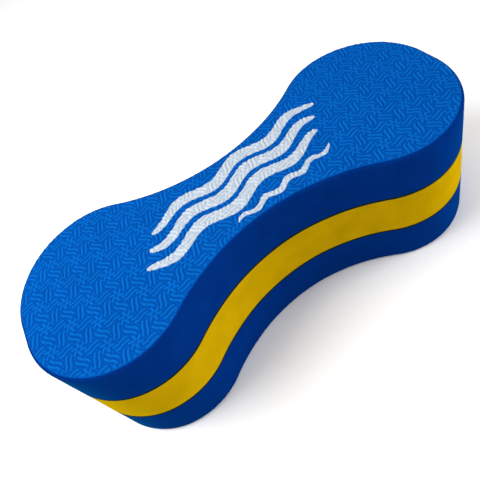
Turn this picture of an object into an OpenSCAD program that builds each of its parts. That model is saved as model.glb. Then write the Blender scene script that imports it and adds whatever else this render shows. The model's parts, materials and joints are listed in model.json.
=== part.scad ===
// Pull buoy: three laminated slabs of closed-cell foam with a figure-eight outline.
// +X runs end to end, +Y across, +Z up. The origin is the middle of the flat underside.

/* [Outline] */
// Overall length, end to end
buoy_length = 240; // [220:5:270]
// Corner radius of each lobe
lobe_r = 42; // [39:1:45]
// Straight stretch across the tip of each lobe
end_flat = 10; // [4:1:14]
// Width across the narrow waist
waist_width = 48; // [46:1:56]

/* [Slabs] */
// Thickness of one foam slab with its share of the bond
layer_pitch = 27; // [22:1:32]
// Thickness of the contact-adhesive film between two slabs
bond_thickness = 0.2; // [0.1:0.05:0.4]
// Distance the adhesive film stops short of the side wall
bond_setback = 0.8; // [0.3:0.1:1.5]
// Radius of the softened upper and lower rims
rim_r = 2.5; // [1.5:0.5:3.5]

/* [Print] */
// Thickness of the screen-printed ink
ink_thickness = 0.1; // [0.05:0.05:0.2]
// Number of stacked wave stripes in the main print
stripe_count = 3; // [2:1:3]
// Width of one wave stripe
stripe_width = 7.2; // [5:0.2:8]
// Distance between neighbouring stripes
stripe_pitch = 10; // [9:0.2:11]
// Length of one wave stripe
stripe_length = 106; // [80:2:112]
// How far each lower stripe is shifted towards -X
stripe_shift = 6; // [0:1:8]
// Height of a wave crest above the middle of its stripe
wave_height = 2.6; // [1:0.1:3]
// Length of one wave
wave_length = 36; // [28:1:48]
// Distance from the long axis to the middle of the main print
main_print_y = 3.5; // [2.5:0.5:4.5]
// Width of the small wave line beside the main print
line_width = 3.6; // [2:0.2:3.8]
// Length of the small wave line
line_length = 58; // [40:2:64]
// Turn of both prints about the middle of the face, in degrees
print_turn = 6; // [0:1:8]

/* [Hidden] */
$fn = 96;

foam_blue = "#0a5cc2";
foam_yellow = "#d9ae08";
glue_grey = "#5a5f55";
ink_white = "#eef2f8";

half_length = buoy_length / 2;
half_waist = waist_width / 2;
total_height = 3 * layer_pitch;
slab_thickness = layer_pitch - bond_thickness;
lobe_x = half_length - lobe_r;
lobe_y = end_flat / 2;
// The waist arc runs into both lobe corners, so its radius follows from its depth. There it
// lies seam_step inside the corner arc, which runs on for seam_turn degrees: the pieces of
// the slab overlap cleanly, where faces that only just touch would leave slivers.
seam_step = 0.01;
seam_turn = 0.1;
seam_r = lobe_r - seam_step;
waist_drop = half_waist - lobe_y;
waist_r = (lobe_x * lobe_x + waist_drop * waist_drop - seam_r * seam_r)
          / (2 * (seam_r - waist_drop));
waist_y = half_waist + waist_r;
// Direction from a lobe corner's centre to the waist arc's centre.
join_angle = atan2(waist_y - lobe_y, -lobe_x);
overcut = 2;
// Conical bands that make up a softened rim.
rim_bands = 3;

line_wave_height = 1.3;
line_wave_length = 14;
line_x = 15;
line_y = -17.3;
// Flat facets along one wave, and how quickly a stripe's pointed ends fill out.
steps_per_wave = 18;
end_fullness = 0.3;

// Points of a rounded rim's section, from the wall up and over onto the flat face.
// turn is -1 where the wall curves outwards and 1 where the waist curves inwards.
function rim_points(reach, thickness, round_r, turn) =
    [for (a = [0 : 90 / rim_bands : 90])
        [reach + turn * round_r * (1 - cos(a)), thickness - round_r * (1 - sin(a))]];

// Upright section of a slab's edge from its axis out to the wall, rounded at the top.
module edge_section(reach, thickness, round_r) {
    polygon(concat([[0, 0], [reach, 0]], rim_points(reach, thickness, round_r, -1),
                   [[0, thickness]]));
}

// Upright section of the waist cutter: it flares outwards over the rounded rim.
module waist_section(reach, thickness, round_r) {
    polygon(concat([[0, -overcut], [reach, -overcut]],
                   rim_points(reach, thickness, round_r, 1),
                   [[reach + round_r, thickness + overcut], [0, thickness + overcut]]));
}

// One quarter's lobe corner, swept from the tip round to where the waist arc begins.
module lobe_corner(inset, thickness, round_r) {
    translate([lobe_x, lobe_y, 0])
        rotate_extrude(angle = join_angle + seam_turn)
            edge_section(lobe_r - inset, thickness, round_r);
}

// Straight stretch across the tip between the two corners of one lobe.
module lobe_tip(inset, thickness, round_r) {
    translate([lobe_x, lobe_y, 0])
        rotate([90, 0, 0])
            linear_extrude(end_flat)
                edge_section(lobe_r - inset, thickness, round_r);
}

// Middle of the slab, between the planes where the waist arcs meet the lobe corners.
module web(inset, thickness, round_r) {
    out = lobe_r + rim_r + overcut;
    join_x = lobe_x + out * cos(join_angle);
    join_y = lobe_y + out * sin(join_angle);
    difference() {
        linear_extrude(thickness)
            polygon([
                [lobe_x, -lobe_y], [lobe_x, lobe_y], [join_x, join_y],
                [-join_x, join_y], [-lobe_x, lobe_y], [-lobe_x, -lobe_y],
                [-join_x, -join_y], [join_x, -join_y]
            ]);
        for (side = [-1, 1])
            translate([0, side * waist_y, 0])
                rotate_extrude()
                    waist_section(waist_r + inset, thickness, round_r);
    }
}

// Figure-eight plate standing on z = 0, with its upper rim rounded by round_r.
module plate(thickness, round_r = 0, inset = 0) {
    union() {
        web(inset, thickness, round_r);
        for (x = [0, 1])
            mirror([x, 0, 0]) {
                lobe_tip(inset, thickness, round_r);
                for (y = [0, 1])
                    mirror([0, y, 0])
                        lobe_corner(inset, thickness, round_r);
            }
    }
}

module bottom_foam_slab() {
    color(foam_blue)
        translate([0, 0, slab_thickness])
            mirror([0, 0, 1])
                plate(slab_thickness, rim_r);
}

module lower_bond_film() {
    color(glue_grey)
        translate([0, 0, slab_thickness])
            plate(bond_thickness, inset = bond_setback);
}

module core_foam_slab() {
    color(foam_yellow)
        translate([0, 0, slab_thickness + bond_thickness])
            plate(total_height - 2 * (slab_thickness + bond_thickness));
}

module upper_bond_film() {
    color(glue_grey)
        translate([0, 0, total_height - slab_thickness - bond_thickness])
            plate(bond_thickness, inset = bond_setback);
}

module top_foam_slab() {
    color(foam_blue)
        translate([0, 0, total_height - slab_thickness])
            plate(slab_thickness, rim_r);
}

// Middle line of a wave at x, and half the width of a stripe a share u along its length.
function wave_mid(x, crest, period) = crest * sin(360 * x / period);
function wave_half(u, width) = width / 2 * pow(sin(180 * u), end_fullness);

// Wavy stripe of ink around x = middle that tapers to a point at both ends.
module wave_stripe(middle, length, width, crest, period) {
    count = ceil(length / period * steps_per_wave);
    upper = [for (i = [0 : count])
        let (u = i / count, x = middle + (u - 0.5) * length)
            [x, wave_mid(x, crest, period) + wave_half(u, width)]];
    lower = [for (i = [count - 1 : -1 : 1])
        let (u = i / count, x = middle + (u - 0.5) * length)
            [x, wave_mid(x, crest, period) - wave_half(u, width)]];
    linear_extrude(ink_thickness)
        polygon(concat(upper, lower));
}

module main_print() {
    color(ink_white)
        rotate(print_turn)
            translate([0, main_print_y, total_height])
                for (i = [0 : stripe_count - 1])
                    let (row = (stripe_count - 1) / 2 - i)
                        translate([0, row * stripe_pitch, 0])
                            wave_stripe(row * stripe_shift, stripe_length, stripe_width,
                                        wave_height, wave_length);
}

module small_print() {
    color(ink_white)
        rotate(print_turn)
            translate([0, line_y, total_height])
                wave_stripe(line_x, line_length, line_width, line_wave_height,
                            line_wave_length);
}

bottom_foam_slab();
lower_bond_film();
core_foam_slab();
upper_bond_film();
top_foam_slab();
main_print();
small_print();
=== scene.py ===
"""Pull buoy: three bonded foam slabs with a heat-pressed face and a white print.

All sizes are in metres. The slabs and the print are rebuilt over their CAD solids: the
pressed pattern of the foam is real relief, and the print is a thin film that follows it.
"""

import json
import math

import bpy
import numpy as np
from mathutils import Matrix, Vector
from mathutils.geometry import delaunay_2d_cdt


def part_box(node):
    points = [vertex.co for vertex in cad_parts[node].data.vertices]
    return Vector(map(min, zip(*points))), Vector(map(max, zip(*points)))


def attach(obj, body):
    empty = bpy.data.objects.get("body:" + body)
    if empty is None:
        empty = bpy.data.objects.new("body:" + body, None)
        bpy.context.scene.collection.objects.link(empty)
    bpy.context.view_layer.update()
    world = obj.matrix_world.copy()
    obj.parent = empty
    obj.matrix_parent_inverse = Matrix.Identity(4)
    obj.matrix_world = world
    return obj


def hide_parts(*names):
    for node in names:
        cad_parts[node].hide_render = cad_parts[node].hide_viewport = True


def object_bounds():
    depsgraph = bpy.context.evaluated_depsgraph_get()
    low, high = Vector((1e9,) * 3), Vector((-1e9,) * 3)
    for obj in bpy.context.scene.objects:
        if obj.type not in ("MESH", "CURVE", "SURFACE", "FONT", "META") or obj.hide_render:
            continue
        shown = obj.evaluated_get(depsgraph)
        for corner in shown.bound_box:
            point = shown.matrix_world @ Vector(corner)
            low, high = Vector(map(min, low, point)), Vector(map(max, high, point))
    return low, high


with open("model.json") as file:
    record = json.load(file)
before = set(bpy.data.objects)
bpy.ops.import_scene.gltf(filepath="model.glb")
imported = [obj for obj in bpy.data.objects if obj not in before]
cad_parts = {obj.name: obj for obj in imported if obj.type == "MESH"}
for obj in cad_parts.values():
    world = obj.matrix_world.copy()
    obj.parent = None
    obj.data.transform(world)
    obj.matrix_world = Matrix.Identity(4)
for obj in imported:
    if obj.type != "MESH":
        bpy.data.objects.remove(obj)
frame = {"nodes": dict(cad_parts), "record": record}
cad_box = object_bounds()

MM = 0.001

# ------------------------------------------------------------ sizes taken from the frame

core_low, core_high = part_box("core_foam_slab")
top_low, top_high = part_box("top_foam_slab")
bottom_low, bottom_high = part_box("bottom_foam_slab")
mounts = {mount["name"]: mount for mount in frame["record"]["mounts"]}

TIP_HALF_FLAT = 5 * MM
HALF_LENGTH = core_high[0]
# The frame's curved faces are made of flat ones and come out a hair narrow, hence the rounding.
HALF_WIDTH = round(core_high[1], 4)
HALF_WAIST = mounts["waist_left"]["pos_m"][1]
LOBE_R = HALF_WIDTH - TIP_HALF_FLAT
LOBE = np.array([HALF_LENGTH - LOBE_R, TIP_HALF_FLAT])
WAIST_DROP = HALF_WAIST - TIP_HALF_FLAT
WAIST_R = (LOBE[0] ** 2 + WAIST_DROP**2 - LOBE_R**2) / (2 * (LOBE_R - WAIST_DROP))
WAIST = np.array([0.0, HALF_WAIST + WAIST_R])
JOIN_ANGLE = math.atan2(WAIST[1] - LOBE[1], WAIST[0] - LOBE[0])

# ------------------------------------------------------------ foam surface

RIM_R = 2.5 * MM
RIM_STEPS = 7
# How many of the rim's rows, from the face down, have the colour of the pressed skin; the rows
# below take the wall's blue, painted darker as shade.
RIM_SKIN_ROWS = 2
# The skin's colour is painted darker down the rim, as painted shade, between these cosines of the
# angle up from the wall.
RIM_SHADE_START = 0.0
RIM_SHADE_END = 0.45
# How quickly the relief dies out down the rim.
RIM_RELIEF_POWER = 4
JOINT_BEVEL = 0.6 * MM
WALL_ROWS = 6
RING_POINTS = 1400
# Edges that turn by more than this are shaded as sharp.
SHARP_ANGLE = math.radians(40)

# Unevenness of a cut wall, as products of a wave along x and a wave along y. Each row has the
# height, then each wave's turn per metre along its own axis and along z, and its start.
WALL_WAVES = (
    (0.10 * MM, (61, 23, 0.4), (47, -31, 1.1)),
    (0.05 * MM, (173, -89, 2.0), (151, 97, 0.0)),
)
# The wall is drawn in by as much as the waves can push it out.
WALL_WAVE_REACH = sum(height for height, _, _ in WALL_WAVES)

# The pressed pattern: bundles of S-shaped ribs across the edges of a triangular lattice.
PITCH = 13.3 * MM
LATTICE_TURN = math.radians(27.9)
LATTICE_ORIGIN = np.array([-86.4, -5.4]) * MM
BUNDLE_TURN = math.radians(43)
RELIEF = 0.6 * MM
# A bundle's two long ribs and two short ones. Lengths and places are shares of the pitch.
LONG_RIB_HALF = 0.235
LONG_RIB_OFFSET = 0.078
RIB_MID_SLOPE = 0.18
RIB_CURL = 4.3
SHORT_RIB = ((0.175, -0.196), (0.315, -0.26))
RIB_FOOT = 0.062
RIB_ROUNDNESS = 1.5
# Away from the ribs the groove ends and a flat begins, at these shares of the pitch. The flat's
# level is a share of the relief.
GROOVE_END = 0.070
FLAT_START = 0.118
FLAT_LEVEL = 0.7

# The pressed face is meshed with a triangular grid that lies on the lattice.
GRID_PER_PITCH = 24
GRID_SPACING = PITCH / GRID_PER_PITCH
# How far grid points stay from the crease at the rim, and from the edge of the ink.
CREASE_MARGIN = 0.45 * GRID_SPACING
INK_MARGIN = 0.3 * GRID_SPACING

# ------------------------------------------------------------ print

# Three wavy stripes side by side, and one thinner wavy line.
STRIPE_ROWS = (1, 0, -1)
STRIPE_PITCH = 10 * MM
STRIPE_WIDTH = 7.2 * MM
STRIPE_SHIFT = 6 * MM
STRIPE_LENGTH = 106 * MM
WAVE_HEIGHT = 2.6 * MM
WAVE_LENGTH = 36 * MM
MAIN_Y = 3.5 * MM
LINE_WIDTH = 3.6 * MM
LINE_LENGTH = 58 * MM
LINE_WAVE_HEIGHT = 1.3 * MM
LINE_WAVE_LENGTH = 14 * MM
LINE_X = 15 * MM
LINE_Y = -17.3 * MM
END_FULLNESS = 0.3
PRINT_TURN = math.radians(6)
INK_ABOVE = 0.06 * MM
INK_BELOW = 0.04 * MM
INK_STEP = 0.5 * MM

# ------------------------------------------------------------ colours and surface detail

# Colours are linear.
SKIN_BLUE = (0.0016, 0.103, 0.406)
# The cut wall's blue is the skin's blue painted darker, as painted shade.
SHADED_WALL_BLUE = (0.0005, 0.021, 0.150)
WALL_YELLOW = (0.430, 0.264, 0.0008)
INK_WHITE = (0.465, 0.50, 0.56)
GLUE_GREEN = (0.001, 0.012, 0.008)
# Painted shade: these tints darken the skin and the ink down in the pressed grooves.
SKIN_GROOVE_SHADE = (0.36, 0.46, 0.62)
INK_GROOVE_SHADE = (0.7, 0.8, 0.84)
# The share of the relief's depth at which the painted groove shade sets in.
GROOVE_SHADE_START = 0.1
BLUE_SHEEN = (0, 0.55, 0.5)
YELLOW_SHEEN = (0.7, 0.8, 0)
SHEEN_WEIGHT = 0.08
SHEEN_ROUGHNESS = 0.3

# Noise: scale per metre and detail, then the range of its values that a ramp spreads.
BLOTCHES = (95, 3)
CELLS = (2600, 2)
INK_COVER = (700, 4)
GLUE_TRACES = (400, 3)
NOISE_LOW = 0.3
NOISE_HIGH = 0.7
INK_NOISE_HIGH = 0.75
ROUGHNESS_SPREAD = 0.05


# ------------------------------------------------------------ outline


def edge_at(s):
    """Point and outward normal at a distance s from the tip, in the first quarter."""
    corner_length = LOBE_R * JOIN_ANGLE
    if s < TIP_HALF_FLAT:
        return np.array([HALF_LENGTH, s]), np.array([1.0, 0.0])
    s -= TIP_HALF_FLAT
    if s < corner_length:
        angle = s / LOBE_R
        out = np.array([math.cos(angle), math.sin(angle)])
        return LOBE + LOBE_R * out, out
    angle = JOIN_ANGLE + math.pi - (s - corner_length) / WAIST_R
    out = np.array([math.cos(angle), math.sin(angle)])
    return WAIST + WAIST_R * out, -out


def outline_ring(count):
    """Evenly spaced points anticlockwise round the figure eight, and their normals."""
    quarter = TIP_HALF_FLAT + LOBE_R * JOIN_ANGLE + WAIST_R * (JOIN_ANGLE - math.pi / 2)
    signs = ((1, 1), (-1, 1), (-1, -1), (1, -1))
    points = []
    normals = []
    for k in range(count):
        turn, s = divmod(4 * quarter * k / count, quarter)
        if turn % 2 == 1:
            s = quarter - s
        point, normal = edge_at(s)
        points.append(point * signs[int(turn)])
        normals.append(normal * signs[int(turn)])
    return np.array(points), np.array(normals)


RING, RING_NORMALS = outline_ring(RING_POINTS)


def inset_of(points):
    """Distance of each point inwards from the slab's side wall."""
    folded = np.abs(points)
    from_lobe = folded - LOBE
    from_waist = folded - WAIST
    waist_side = math.cos(JOIN_ANGLE) * from_lobe[:, 1] > math.sin(JOIN_ANGLE) * from_lobe[:, 0]
    round_corner = LOBE_R - np.hypot(from_lobe[:, 0], from_lobe[:, 1])
    lobe = np.where(folded[:, 1] < LOBE[1], HALF_LENGTH - folded[:, 0], round_corner)
    waist = np.hypot(from_waist[:, 0], from_waist[:, 1]) - WAIST_R
    return np.where(waist_side, waist, lobe)


# ------------------------------------------------------------ pressed pattern


def direction(angle):
    return np.array([math.cos(angle), math.sin(angle)])


LATTICE = PITCH * np.array([direction(LATTICE_TURN), direction(LATTICE_TURN + math.pi / 3)])
GRID_BASIS = LATTICE / GRID_PER_PITCH


def smooth_step(low, high, values):
    share = np.clip((values - low) / (high - low), 0, 1)
    return share * share * (3 - 2 * share)


def long_rib_distance(along, across):
    """Distance from the S-shaped rib that crosses the middle of a bundle."""
    reach = np.clip(along, -LONG_RIB_HALF, LONG_RIB_HALF)
    bend = RIB_MID_SLOPE * reach - RIB_CURL * reach**3
    slope = RIB_MID_SLOPE - 3 * RIB_CURL * reach**2
    return np.hypot(along - reach, (across - bend) / np.sqrt(1 + slope**2))


def short_rib_distance(along, across):
    """Distance from the straight short rib at one side of a bundle."""
    start, end = np.array(SHORT_RIB)
    span = end - start
    share = ((along - start[0]) * span[0] + (across - start[1]) * span[1]) / (span @ span)
    share = np.clip(share, 0, 1)
    return np.hypot(along - start[0] - share * span[0], across - start[1] - share * span[1])


def rib_distance(points):
    """Distance from each point to the nearest rib's middle line, in pitches."""
    cell = (points - LATTICE_ORIGIN) @ np.linalg.inv(LATTICE)
    local = (cell - np.floor(cell)) @ LATTICE / PITCH
    nearest = np.full(len(points), np.inf)
    edges = (LATTICE[0], LATTICE[1], LATTICE[1] - LATTICE[0])
    for i in range(-1, 3):
        for j in range(-1, 3):
            for edge in edges:
                middle = (i * LATTICE[0] + j * LATTICE[1] + edge / 2) / PITCH
                turn = math.atan2(edge[1], edge[0]) + BUNDLE_TURN
                along = (local - middle) @ direction(turn)
                across = (local - middle) @ direction(turn + math.pi / 2)
                for offset in (-LONG_RIB_OFFSET, LONG_RIB_OFFSET):
                    nearest = np.minimum(nearest, long_rib_distance(along, across - offset))
                for sign in (-1, 1):
                    nearest = np.minimum(nearest, short_rib_distance(sign * along, sign * across))
    return nearest


def pressed_depth(points):
    """How far the pressed face lies under the rib crests at each point."""
    distance = rib_distance(points)
    rib = 1 - np.clip(distance / RIB_FOOT, 0, 1) ** RIB_ROUNDNESS
    flat = FLAT_LEVEL * smooth_step(GROOVE_END, FLAT_START, distance)
    return RELIEF * (1 - np.maximum(rib, flat))


# ------------------------------------------------------------ plan meshes


class Grid:
    """Triangular grid of points that lies on the lattice of the pressed pattern."""

    def __init__(self, low, high):
        corners = np.array([(x, y) for x in (low[0], high[0]) for y in (low[1], high[1])])
        steps = self.steps_of(corners)
        self.first = np.floor(steps.min(0)).astype(int) - 1
        self.shape = np.ceil(steps.max(0)).astype(int) + 2 - self.first
        i, j = np.meshgrid(np.arange(self.shape[0]), np.arange(self.shape[1]), indexing="ij")
        index = np.stack([i.ravel(), j.ravel()], 1) + self.first
        self.points = LATTICE_ORIGIN + index @ GRID_BASIS

    def steps_of(self, points):
        return (points - LATTICE_ORIGIN) @ np.linalg.inv(GRID_BASIS)

    def triangles(self):
        rows, columns = self.shape
        number = np.arange(rows * columns).reshape(rows, columns)
        here = number[:-1, :-1].ravel()
        right = number[1:, :-1].ravel()
        up = number[:-1, 1:].ravel()
        across = number[1:, 1:].ravel()
        lower = np.stack([here, right, up], 1)
        upper = np.stack([right, across, up], 1)
        return np.vstack([lower, upper])

    def kept_at(self, points, kept):
        """Whether each point lies in a triangle whose three corners are all kept."""
        steps = self.steps_of(points) - self.first
        base = np.floor(steps).astype(int)
        share = steps - base
        flags = kept.reshape(self.shape)
        i, j = base[:, 0], base[:, 1]
        both = flags[i + 1, j] & flags[i, j + 1]
        corner = np.where(share.sum(1) <= 1, flags[i, j], flags[i + 1, j + 1])
        return both & corner


def height_on_grid(points):
    """Depth of the grid's flat triangles, so that a film lies exactly on the foam."""
    steps = (points - LATTICE_ORIGIN) @ np.linalg.inv(GRID_BASIS)
    base = np.floor(steps)
    share = steps - base
    far = share.sum(1) > 1
    corner = np.where(far[:, None], base + 1, base)
    one = LATTICE_ORIGIN + (base + [1, 0]) @ GRID_BASIS
    two = LATTICE_ORIGIN + (base + [0, 1]) @ GRID_BASIS
    three = LATTICE_ORIGIN + corner @ GRID_BASIS
    weight_one = np.where(far, 1 - share[:, 1], share[:, 0])
    weight_two = np.where(far, 1 - share[:, 0], share[:, 1])
    return (
        weight_one * pressed_depth(one)
        + weight_two * pressed_depth(two)
        + (1 - weight_one - weight_two) * pressed_depth(three)
    )


def border_edges(triangles):
    """The directed edges that only one triangle has."""
    edges = np.vstack([triangles[:, [0, 1]], triangles[:, [1, 2]], triangles[:, [2, 0]]])
    low_first = np.sort(edges, 1)
    _, index, count = np.unique(low_first, axis=0, return_index=True, return_counts=True)
    return edges[index[count == 1]]


def join_points(points, edges):
    """Triangles over the area that the edges enclose, with corners only at the points."""
    inside_edges = 1
    merge_distance = 1e-7
    places = [Vector(point / MM) for point in points]
    result = delaunay_2d_cdt(places, edges, [], inside_edges, merge_distance)
    corners, _, faces, sources, _, _ = result
    if len(corners) != len(places):
        raise ValueError("the outline band gained or lost points")
    source = np.array([names[0] for names in sources])
    return source[np.array(faces)]


def fill_outline(outline, inside, margin):
    """Fills a closed outline with grid triangles, and a band of fitted ones at its edge.

    inside(points) is positive inside, and at least margin where grid points are kept.
    Returns plan points, of which the outline's come first, and triangles.
    """
    grid = Grid(outline.min(0), outline.max(0))
    kept = inside(grid.points) > margin
    triangles = grid.triangles()
    triangles = triangles[kept[triangles].all(1)]
    used = np.unique(triangles)
    number = np.full(len(grid.points), -1)
    number[used] = np.arange(len(used)) + len(outline)
    whole = number[triangles]
    points = np.vstack([outline, grid.points[used]])

    kept_used = np.zeros(len(grid.points), bool)
    kept_used[used] = True
    border = number[border_edges(triangles)]
    ring = [(k, (k + 1) % len(outline)) for k in range(len(outline))]
    chosen = np.concatenate([np.arange(len(outline)), np.unique(border)])
    rank = {int(n): k for k, n in enumerate(chosen)}
    seams = ring + [(rank[int(a)], rank[int(b)]) for a, b in border]
    band = chosen[join_points(points[chosen], seams)]
    middles = points[band].mean(1)
    band = band[(inside(middles) > 0) & ~grid.kept_at(middles, kept_used)]
    one, two, three = (points[band[:, k]] for k in range(3))
    turn = np.cross(two - one, three - one)
    band = np.where(turn[:, None] < 0, band[:, ::-1], band)
    return points, np.vstack([whole, band])


# ------------------------------------------------------------ slabs


def wall_wave(x, y, z):
    """Slight unevenness of a cut foam wall, the same through all three slabs."""
    push = np.zeros(len(x))
    for height, (x_turn, x_rise, x_start), (y_turn, y_rise, y_start) in WALL_WAVES:
        x_wave = np.sin(x_turn * x + x_rise * z + x_start)
        y_wave = np.sin(y_turn * y + y_rise * z + y_start)
        push += height * x_wave * y_wave
    return push


def ring_vertices(inset, z, waviness=1.0):
    """One ring round the slab, with a share of the wall's unevenness."""
    push = waviness * (wall_wave(RING[:, 0], RING[:, 1], z) - WALL_WAVE_REACH)
    places = RING + (push[:, None] - inset) * RING_NORMALS
    return np.column_stack([places, np.full(len(places), z)])


def side_quads(rows):
    """Faces between rings that follow one another in the list of vertices."""
    here = np.arange(RING_POINTS)
    following = (here + 1) % RING_POINTS
    quads = []
    for row in range(rows - 1):
        low = row * RING_POINTS
        high = low + RING_POINTS
        quads.append(np.stack([low + here, low + following, high + following, high + here], 1))
    return np.vstack(quads)


def wall_rings(low, high, bevel_low, bevel_high):
    """Rings up a straight wall, with a small bevel where it meets a bonded joint."""
    rings = []
    if bevel_low:
        rings.append(ring_vertices(JOINT_BEVEL, low))
        low += JOINT_BEVEL
    top = high - JOINT_BEVEL if bevel_high else high
    for row in range(WALL_ROWS + 1):
        rings.append(ring_vertices(0, low + (top - low) * row / WALL_ROWS))
    if bevel_high:
        rings.append(ring_vertices(JOINT_BEVEL, high))
    return rings


def new_piece(name, vertices, faces, materials, face_materials=None):
    mesh = bpy.data.meshes.new(name)
    mesh.from_pydata(np.asarray(vertices).tolist(), [], faces)
    mesh.update()
    for material in materials:
        mesh.materials.append(material)
    if face_materials is not None:
        mesh.polygons.foreach_set("material_index", np.asarray(face_materials, dtype=np.int32))
    mesh.shade_smooth()
    mesh.set_sharp_from_angle(angle=SHARP_ANGLE)
    mesh.validate()
    piece = bpy.data.objects.new(name, mesh)
    bpy.context.scene.collection.objects.link(piece)
    return piece


def mark_painted_shade(piece, depth):
    """Keeps each vertex's depth below the rib crests, or the rim's darkening, for the material's
    painted shade.
    """
    groove = piece.data.attributes.new("groove", "FLOAT", "POINT")
    groove.data.foreach_set("value", (depth / RELIEF).astype(np.float32))


def pressed_slab(name, low, high, materials, face_down):
    """Slab whose outer face carries the pressed pattern and whose rim is softened.

    The materials are the pressed skin, the cut wall, whose blue is painted darker as shade, and the
    glue, in this order.
    """
    rings = wall_rings(low, high - RIM_R, True, False)
    ring_shade = [np.zeros(RING_POINTS)] * len(rings)
    for step in range(1, RIM_STEPS + 1):
        angle = math.pi / 2 * step / RIM_STEPS
        inset = RIM_R * (1 - math.cos(angle))
        z = high - RIM_R * (1 - math.sin(angle))
        ring = ring_vertices(inset, z, math.cos(angle))
        depth = math.sin(angle) ** RIM_RELIEF_POWER * pressed_depth(ring[:, :2])
        ring[:, 2] -= depth
        rings.append(ring)
        # Painted shade: the rim's colour darkens towards the wall, on top of the groove depth.
        shade = smooth_step(RIM_SHADE_START, RIM_SHADE_END, math.cos(angle))
        ring_shade.append(np.maximum(depth, RELIEF * shade))
    rim_first = WALL_ROWS + 1
    side = side_quads(len(rings))
    crease = rings[-1][:, :2]
    plan, triangles = fill_outline(crease, lambda p: inset_of(p) - RIM_R, CREASE_MARGIN)
    plan_depth = pressed_depth(plan)
    plan_z = high - plan_depth
    cap_base = (len(rings) - 1) * RING_POINTS
    vertices = np.vstack(rings[:-1] + [np.column_stack([plan, plan_z])])
    cap = triangles + cap_base
    base = [list(range(RING_POINTS - 1, -1, -1))]
    faces = base + side.tolist() + cap.tolist()
    side_rows = np.arange(len(side)) // RING_POINTS
    skin_first = rim_first + RIM_STEPS - RIM_SKIN_ROWS
    use_skin, use_shaded_wall, use_glue = 0, 1, 2
    # Below the skin rows the rim and wall take the wall's blue, painted darker as shade.
    side_materials = np.where(side_rows >= skin_first, use_skin, use_shaded_wall)
    side_materials[side_rows == 0] = use_glue
    face_materials = np.concatenate([[use_shaded_wall], side_materials, np.full(len(cap), use_skin)])
    if face_down:
        vertices[:, 2] = low + high - vertices[:, 2]
        faces = [face[::-1] for face in faces]
    piece = new_piece(name, vertices, faces, materials, face_materials)
    mark_painted_shade(piece, np.concatenate(ring_shade[:-1] + [plan_depth]))
    return piece


def plain_slab(name, low, high, wall, glue):
    """Slab with flat faces and a bevel with a trace of glue at both joints."""
    rings = wall_rings(low, high, True, True)
    side = side_quads(len(rings))
    last = (len(rings) - 1) * RING_POINTS
    base = list(range(RING_POINTS - 1, -1, -1))
    lid = list(range(last, last + RING_POINTS))
    side_rows = np.arange(len(side)) // RING_POINTS
    bevels = (side_rows == 0) | (side_rows == len(rings) - 2)
    face_materials = np.concatenate([[0, 0], np.where(bevels, 1, 0)])
    faces = [base, lid] + side.tolist()
    return new_piece(name, np.vstack(rings), faces, [wall, glue], face_materials)


# ------------------------------------------------------------ print films


def wave_outline(middle, length, width, crest, period):
    """Closed outline of a wavy stripe that tapers to a point at both ends."""
    count = int(math.ceil(length / INK_STEP))
    share = 0.5 - 0.5 * np.cos(np.linspace(0, math.pi, count + 1))
    x = middle + (share - 0.5) * length
    mid = crest * np.sin(2 * math.pi * x / period)
    half = width / 2 * np.sin(math.pi * share) ** END_FULLNESS
    half[[0, -1]] = 0
    lower = np.column_stack([x, mid - half])
    upper = np.column_stack([x, mid + half])[-2:0:-1]
    return np.vstack([lower, upper])


def wave_inside(points, middle, length, width, crest, period):
    """About the distance of each point inside a wavy stripe."""
    share = np.clip((points[:, 0] - middle) / length + 0.5, 0, 1)
    mid = crest * np.sin(2 * math.pi * points[:, 0] / period)
    slope = crest * 2 * math.pi / period
    half = width / 2 * np.abs(np.sin(math.pi * share)) ** END_FULLNESS
    return (half - np.abs(points[:, 1] - mid)) / math.hypot(1, slope)


def ink_stripe(y, middle, length, width, crest, period):
    """One closed film of ink that follows the pressed face: vertices, faces and depths."""
    shift = np.array([0, y])
    turn = np.array([direction(PRINT_TURN), direction(PRINT_TURN + math.pi / 2)])
    outline = (wave_outline(middle, length, width, crest, period) + shift) @ turn
    plan, triangles = fill_outline(
        outline,
        lambda p: wave_inside(p @ turn.T - shift, middle, length, width, crest, period),
        INK_MARGIN,
    )
    depth = height_on_grid(plan)
    surface = top_high[2] - depth
    count = len(plan)
    above = np.column_stack([plan, surface + INK_ABOVE])
    below = np.column_stack([plan, surface - INK_BELOW])
    edge = np.arange(len(outline))
    following = np.roll(edge, -1)
    wall = np.stack([edge + count, following + count, following, edge], 1)
    under = triangles[:, ::-1] + count
    faces = triangles.tolist() + under.tolist() + wall.tolist()
    return np.vstack([above, below]), faces, np.tile(depth, 2)


def ink_piece(name, stripes, ink):
    """One piece made of separate films of ink."""
    vertices = []
    faces = []
    depths = []
    start = 0
    for stripe in stripes:
        points, polygons, depth = ink_stripe(*stripe)
        vertices.append(points)
        faces += [[corner + start for corner in polygon] for polygon in polygons]
        depths.append(depth)
        start += len(points)
    piece = new_piece(name, np.vstack(vertices), faces, [ink])
    mark_painted_shade(piece, np.concatenate(depths))
    return piece


# ------------------------------------------------------------ materials


def new_material(name, color, roughness, specular):
    material = bpy.data.materials.new(name)
    material.use_nodes = True
    shader = material.node_tree.nodes["Principled BSDF"]
    shader.inputs["Base Color"].default_value = (*color, 1)
    shader.inputs["Roughness"].default_value = roughness
    shader.inputs["Specular IOR Level"].default_value = specular
    return material, material.node_tree, shader


def noise(tree, grain, coordinates):
    scale, detail = grain
    node = tree.nodes.new("ShaderNodeTexNoise")
    node.inputs["Scale"].default_value = scale
    node.inputs["Detail"].default_value = detail
    tree.links.new(coordinates, node.inputs["Vector"])
    return node.outputs["Fac"]


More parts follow.
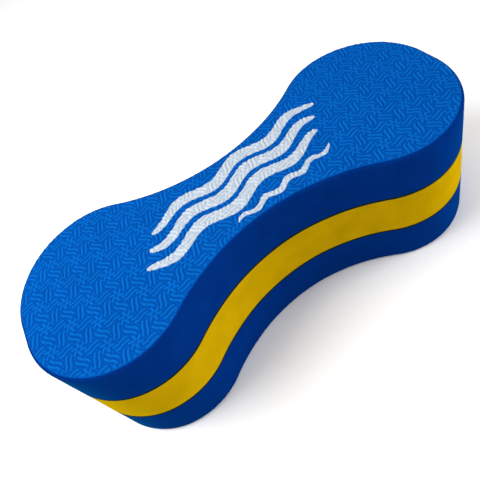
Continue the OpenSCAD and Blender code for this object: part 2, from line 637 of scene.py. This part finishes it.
def ramp(tree, value, low, high, low_color, high_color):
    node = tree.nodes.new("ShaderNodeValToRGB")
    node.color_ramp.elements[0].position = low
    node.color_ramp.elements[1].position = high
    node.color_ramp.elements[0].color = (*low_color, 1)
    node.color_ramp.elements[1].color = (*high_color, 1)
    tree.links.new(value, node.inputs["Fac"])
    return node.outputs["Color"]


def bump(tree, height, distance, strength):
    node = tree.nodes.new("ShaderNodeBump")
    node.inputs["Distance"].default_value = distance
    node.inputs["Strength"].default_value = strength
    tree.links.new(height, node.inputs["Height"])
    return node.outputs["Normal"]


def scaled(color, factor):
    return tuple(min(1.0, channel * factor) for channel in color)


def multiplied(tree, one, two):
    """Product of two colours. The Mix node's colour sockets are found by their numbers."""
    first_color, second_color, mixed_color = 6, 7, 2
    node = tree.nodes.new("ShaderNodeMix")
    node.data_type = "RGBA"
    node.blend_type = "MULTIPLY"
    node.inputs["Factor"].default_value = 1
    tree.links.new(one, node.inputs[first_color])
    tree.links.new(two, node.inputs[second_color])
    return node.outputs[mixed_color]


def grey(value):
    return (value, value, value)


def foam(name, color, roughness, mottle, pore_depth):
    """Closed-cell foam: blotchy colour at the centimetre scale, and fine cells."""
    material, tree, shader = new_material(name, color, roughness, specular=0)
    place = tree.nodes.new("ShaderNodeTexCoord").outputs["Object"]
    blotches = noise(tree, BLOTCHES, place)
    dark, light = scaled(color, 1 - mottle), scaled(color, 1 + mottle)
    tint = ramp(tree, blotches, NOISE_LOW, NOISE_HIGH, dark, light)
    tree.links.new(tint, shader.inputs["Base Color"])
    smooth, rough = grey(roughness - ROUGHNESS_SPREAD), grey(roughness + ROUGHNESS_SPREAD)
    finish = ramp(tree, blotches, NOISE_LOW, NOISE_HIGH, smooth, rough)
    tree.links.new(finish, shader.inputs["Roughness"])
    pores = bump(tree, noise(tree, CELLS, place), pore_depth, strength=0.6)
    tree.links.new(pores, shader.inputs["Normal"])
    return material


def add_sheen(material, tint):
    """Gives a cut wall its pale, dusty look where it turns away."""
    shader = material.node_tree.nodes["Principled BSDF"]
    shader.inputs["Sheen Weight"].default_value = SHEEN_WEIGHT
    shader.inputs["Sheen Roughness"].default_value = SHEEN_ROUGHNESS
    shader.inputs["Sheen Tint"].default_value = (*tint, 1)


def paint_groove_shade(material, painted_groove_shade):
    """Paints shade into a material's colour, darker down in the pressed grooves and, on the skin,
    down the rim.
    """
    tree = material.node_tree
    shader = tree.nodes["Principled BSDF"]
    tint = shader.inputs["Base Color"].links[0].from_socket
    depth = tree.nodes.new("ShaderNodeAttribute")
    depth.attribute_name = "groove"
    shade = ramp(tree, depth.outputs["Fac"], GROOVE_SHADE_START, 1, grey(1), painted_groove_shade)
    tree.links.new(multiplied(tree, tint, shade), shader.inputs["Base Color"])


def ink_material():
    """Screen-print ink of slightly uneven cover."""
    material, tree, shader = new_material("white_ink", INK_WHITE, roughness=0.5, specular=0.35)
    place = tree.nodes.new("ShaderNodeTexCoord").outputs["Object"]
    thin, full = scaled(INK_WHITE, 0.9), scaled(INK_WHITE, 1.05)
    tint = ramp(tree, noise(tree, INK_COVER, place), NOISE_LOW, INK_NOISE_HIGH, thin, full)
    tree.links.new(tint, shader.inputs["Base Color"])
    grain = bump(tree, noise(tree, CELLS, place), distance=0.03 * MM, strength=0.5)
    tree.links.new(grain, shader.inputs["Normal"])
    return material


def glue_material():
    """Dark set adhesive, patchy along the joint."""
    material, tree, shader = new_material("bond_adhesive", GLUE_GREEN, roughness=0.5, specular=0.1)
    place = tree.nodes.new("ShaderNodeTexCoord").outputs["Object"]
    dark, light = scaled(GLUE_GREEN, 0.7), scaled(GLUE_GREEN, 1.5)
    tint = ramp(tree, noise(tree, GLUE_TRACES, place), NOISE_LOW, NOISE_HIGH, dark, light)
    tree.links.new(tint, shader.inputs["Base Color"])
    return material


# ------------------------------------------------------------ build

blue_skin = foam("pressed_blue_foam", SKIN_BLUE, roughness=0.6, mottle=0.05, pore_depth=0.05 * MM)
# The cut wall is the same foam as the skin, with its colour painted darker as shade.
shaded_blue_wall = foam("shaded_cut_blue_foam", SHADED_WALL_BLUE, roughness=0.7, mottle=0.08, pore_depth=0.06 * MM)
yellow_wall = foam("cut_yellow_foam", WALL_YELLOW, roughness=0.7, mottle=0.07, pore_depth=0.06 * MM)
white_ink = ink_material()
# Painted shade in the grooves of the skin and the ink.
paint_groove_shade(blue_skin, SKIN_GROOVE_SHADE)
paint_groove_shade(white_ink, INK_GROOVE_SHADE)
add_sheen(shaded_blue_wall, BLUE_SHEEN)
add_sheen(yellow_wall, YELLOW_SHEEN)
glue = glue_material()

outer = (blue_skin, shaded_blue_wall, glue)
top = pressed_slab("top_slab", top_low[2], top_high[2], outer, face_down=False)
bottom = pressed_slab("bottom_slab", bottom_low[2], bottom_high[2], outer, face_down=True)
core = plain_slab("core_slab", core_low[2], core_high[2], yellow_wall, glue)

main_stripes = [
    (
        MAIN_Y + row * STRIPE_PITCH,
        row * STRIPE_SHIFT,
        STRIPE_LENGTH,
        STRIPE_WIDTH,
        WAVE_HEIGHT,
        WAVE_LENGTH,
    )
    for row in STRIPE_ROWS
]
small_stripes = [(LINE_Y, LINE_X, LINE_LENGTH, LINE_WIDTH, LINE_WAVE_HEIGHT, LINE_WAVE_LENGTH)]
main_ink = ink_piece("wave_print", main_stripes, white_ink)
small_ink = ink_piece("line_print", small_stripes, white_ink)

for piece, node, slot in (
    (top, "top_foam_slab", "blue_foam"),
    (bottom, "bottom_foam_slab", "blue_foam"),
    (core, "core_foam_slab", "yellow_foam"),
    (main_ink, "main_print", "white_ink"),
    (small_ink, "small_print", "white_ink"),
):
    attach(piece, "root")
    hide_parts(node)

for name in ("lower_bond_film", "upper_bond_film"):
    film = frame["nodes"][name]
    film.data.materials.clear()
    film.data.materials.append(glue)

# ------------------------------------------------------------ stage, light and camera

FLOOR_HALF = 3.0
WORLD_STRENGTH = 0.7

CAMERA_PLACE = (-0.0326, -0.1599, 0.2516)
CAMERA_AZIMUTH = math.radians(-11.94)
CAMERA_ELEVATION = math.radians(48.74)
CAMERA_ROLL = math.radians(-26.14)
SENSOR_WIDTH = 36
LENS = 36.79
SHIFT_X = -0.0238
SHIFT_Y = -0.0796


def make_floor():
    material, _, _ = new_material("pale_floor", grey(0.9), roughness=0.8, specular=0.1)
    mesh = bpy.data.meshes.new("floor")
    low = cad_box[0][2]
    signs = ((-1, -1), (1, -1), (1, 1), (-1, 1))
    corners = [(x * FLOOR_HALF, y * FLOOR_HALF, low) for x, y in signs]
    mesh.from_pydata(corners, [], [(0, 1, 2, 3)])
    mesh.materials.append(material)
    floor = bpy.data.objects.new("floor", mesh)
    bpy.context.scene.collection.objects.link(floor)


def soft_light(name, place, target, size, power):
    data = bpy.data.lights.new(name, "AREA")
    data.shape = "DISK"
    data.size = size
    data.energy = power
    lamp = bpy.data.objects.new(name, data)
    lamp.location = place
    lamp.rotation_euler = (Vector(target) - Vector(place)).to_track_quat("-Z", "Y").to_euler()
    bpy.context.scene.collection.objects.link(lamp)


def make_world():
    world = bpy.data.worlds.new("studio")
    world.use_nodes = True
    background = world.node_tree.nodes["Background"]
    background.inputs["Color"].default_value = (1, 1, 1, 1)
    background.inputs["Strength"].default_value = WORLD_STRENGTH
    bpy.context.scene.world = world


def make_camera():
    """Close view from above the near long side, rolled as the photograph is."""
    data = bpy.data.cameras.new("camera")
    data.sensor_width = SENSOR_WIDTH
    data.lens = LENS
    data.shift_x = SHIFT_X
    data.shift_y = SHIFT_Y
    data.clip_start = 0.01
    ahead = Vector((
        -math.sin(CAMERA_AZIMUTH) * math.cos(CAMERA_ELEVATION),
        math.cos(CAMERA_AZIMUTH) * math.cos(CAMERA_ELEVATION),
        -math.sin(CAMERA_ELEVATION),
    ))
    side = ahead.cross(Vector((0, 0, 1))).normalized()
    up = side.cross(ahead)
    right = side * math.cos(CAMERA_ROLL) + up * math.sin(CAMERA_ROLL)
    top_side = right.cross(ahead)
    turn = Matrix((right, top_side, -ahead)).transposed().to_4x4()
    camera = bpy.data.objects.new("camera", data)
    camera.matrix_world = Matrix.Translation(CAMERA_PLACE) @ turn
    bpy.context.scene.collection.objects.link(camera)
    bpy.context.scene.camera = camera


make_floor()
make_world()
make_camera()
soft_light("overhead", place=(-0.37, 0.11, 0.55), target=(0, 0, 0.05), size=0.45, power=4.5)
soft_light("side_fill", place=(1.0, -0.38, 0.22), target=(0, 0, 0.04), size=0.5, power=9.5)
bpy.context.scene.view_settings.view_transform = "Standard"
